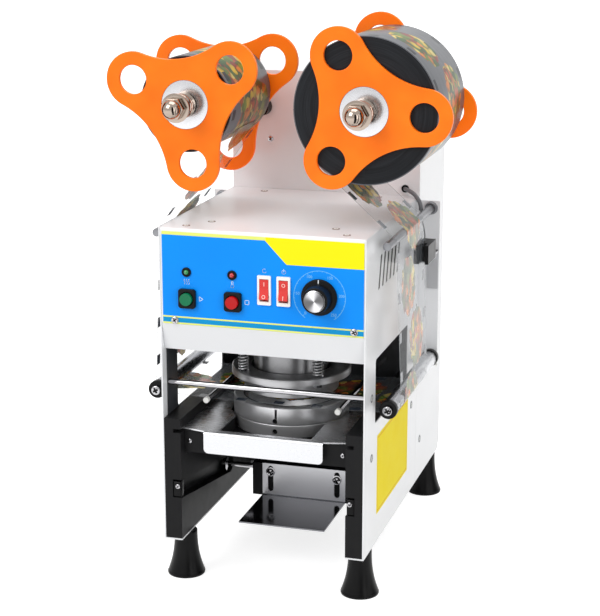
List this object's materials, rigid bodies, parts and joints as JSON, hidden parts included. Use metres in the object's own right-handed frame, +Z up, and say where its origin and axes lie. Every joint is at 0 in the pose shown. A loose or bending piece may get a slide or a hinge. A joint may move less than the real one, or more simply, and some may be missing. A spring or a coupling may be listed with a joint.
{
  "type": "cup sealing machine",
  "caption": "Bench-top machine that seals film onto cups: sliding cup tray, hot press with round knife, driven film reels above a sheet-steel body.",
  "frame": {"origin": "on the table under the middle of the machine's overall box", "axes": "+Z up, +X to the operator's right, +Y from the control panel to the rear housing"},
  "size_m": [0.366, 0.3992, 0.5999],
  "materials": {
    "white_paint": "smooth powder coat",
    "foot_rubber": "matt",
    "black_anodised": "black anodised",
    "polished_steel": "polished",
    "brushed_steel": "satin",
    "aluminium": "turned",
    "black_plastic": "satin",
    "grey_cable": "matt",
    "film": "printed clear film",
    "dark_film_roll": "edges of wound film",
    "orange_plastic": "semi-gloss",
    "green_plastic": "gloss",
    "red_plastic": "gloss",
    "cream_plastic": "satin"
  },
  "bodies": {
    "frame": {"left_side_plate": "white_paint", "right_side_plate": "white_paint", "front_cover": "white_paint", "bulkhead": "white_paint", "tower_cover": "white_paint", "left_front_foot": "foot_rubber", "left_rear_foot": "foot_rubber", "right_front_foot": "foot_rubber", "right_rear_foot": "foot_rubber", "left_rail": "black_anodised", "right_rail": "black_anodised", "cross_rod": "polished_steel", "left_upper_rod": "polished_steel", "right_upper_rod": "polished_steel", "left_film_rod": "polished_steel", "right_film_rod": "polished_steel", "press_bracket": "brushed_steel", "press_motor": "aluminium", "takeup_motor": "black_plastic", "mains_inlet": "black_plastic", "film_sensor": "black_plastic", "sensor_cable": "grey_cable", "film_web": "film", "green_lamp": "green_plastic", "red_lamp": "red_plastic", "start_collar": "black_plastic", "stop_collar": "black_plastic", "mode_switch_case": "cream_plastic", "power_switch_case": "cream_plastic", "thermostat": "black_plastic"},
    "tray": {"tray_sheet": "brushed_steel", "carriage": "black_anodised", "die_lower_ring": "brushed_steel", "die_upper_ring": "brushed_steel"},
    "lift": {"lift_block": "black_anodised", "lift_bracket": "brushed_steel", "lift_axle": "polished_steel"},
    "press_head": {"heater_block": "aluminium", "press_plate": "brushed_steel", "press_spring_left_front": "polished_steel", "press_spring_left_rear": "polished_steel", "press_spring_right_front": "polished_steel", "press_spring_right_rear": "polished_steel"},
    "knife": {"knife_plate": "brushed_steel"},
    "crank": {"crank": "brushed_steel"},
    "supply_reel": {"supply_front_plate": "orange_plastic", "supply_rear_plate": "orange_plastic", "supply_roll": "dark_film_roll", "supply_shaft": "polished_steel"},
    "takeup_reel": {"takeup_front_plate": "orange_plastic", "takeup_rear_plate": "orange_plastic", "takeup_roll": "film", "takeup_shaft": "polished_steel"},
    "left_roller": {"left_roller": "aluminium"},
    "right_roller": {"right_roller": "aluminium"},
    "start_button": {"start_button": "green_plastic"},
    "stop_button": {"stop_button": "red_plastic"},
    "mode_rocker": {"mode_rocker": "red_plastic"},
    "power_rocker": {"power_rocker": "red_plastic"},
    "knob": {"temperature_knob": "black_plastic"}
  },
  "joints": [
    {"name": "tray_slide", "type": "slide", "parent": "frame", "child": "tray", "axis": [0, -1, 0], "range_m": [0, 0.14]},
    {"name": "lift_slide", "type": "slide", "parent": "tray", "child": "lift", "axis": [0, 0, 1], "range_m": [0, 0.023]},
    {"name": "press_slide", "type": "slide", "parent": "frame", "child": "press_head", "axis": [0, 0, 1], "range_m": [-0.0042, 0.008], "deforming": ["film_web"]},
    {"name": "knife_slide", "type": "slide", "parent": "press_head", "child": "knife", "axis": [0, 0, 1], "range_m": [0, 0.004], "stiffness_N_per_m": 3000, "springref_m": -0.008, "deforming": ["press_spring_left_front", "press_spring_left_rear", "press_spring_right_front", "press_spring_right_rear"]},
    {"name": "crank_turn", "type": "hinge", "parent": "frame", "child": "crank", "pos_m": [-0.00235, 0.0388, 0.29], "axis": [0, 1, 0], "range_deg": [-38.5, 20.5]},
    {"name": "supply_turn", "type": "hinge", "parent": "frame", "child": "supply_reel", "pos_m": [0.09265, -0.1362, 0.512], "axis": [0, 1, 0], "continuous": true},
    {"name": "takeup_turn", "type": "hinge", "parent": "frame", "child": "takeup_reel", "pos_m": [-0.09735, -0.1362, 0.512], "axis": [0, 1, 0], "continuous": true},
    {"name": "left_roller_turn", "type": "hinge", "parent": "frame", "child": "left_roller", "pos_m": [-0.12935, -0.1502, 0.2073], "axis": [0, 1, 0], "continuous": true},
    {"name": "right_roller_turn", "type": "hinge", "parent": "frame", "child": "right_roller", "pos_m": [0.12465, -0.1502, 0.2073], "axis": [0, 1, 0], "continuous": true},
    {"name": "start_press", "type": "slide", "parent": "frame", "child": "start_button", "axis": [0, 1, 0], "range_m": [0, 0.0025], "stiffness_N_per_m": 400, "springref_m": -0.003},
    {"name": "stop_press", "type": "slide", "parent": "frame", "child": "stop_button", "axis": [0, 1, 0], "range_m": [0, 0.0025], "stiffness_N_per_m": 400, "springref_m": -0.003},
    {"name": "mode_tilt", "type": "hinge", "parent": "frame", "child": "mode_rocker", "pos_m": [0.00155, -0.1752, 0.3332], "axis": [1, 0, 0], "range_deg": [0, 16]},
    {"name": "power_tilt", "type": "hinge", "parent": "frame", "child": "power_rocker", "pos_m": [0.02205, -0.1752, 0.3332], "axis": [1, 0, 0], "range_deg": [0, 16]},
    {"name": "knob_turn", "type": "hinge", "parent": "frame", "child": "knob", "pos_m": [0.05955, -0.1795, 0.3299], "axis": [0, 1, 0], "range_deg": [-140, 140]}
  ],
  "couplings": [
    {"joint": "lift_slide", "follows": "tray_slide", "ratio": 0.16428},
    {"joint": "crank_turn", "follows": "press_slide", "rad_per_m": -83.333}
  ]
}
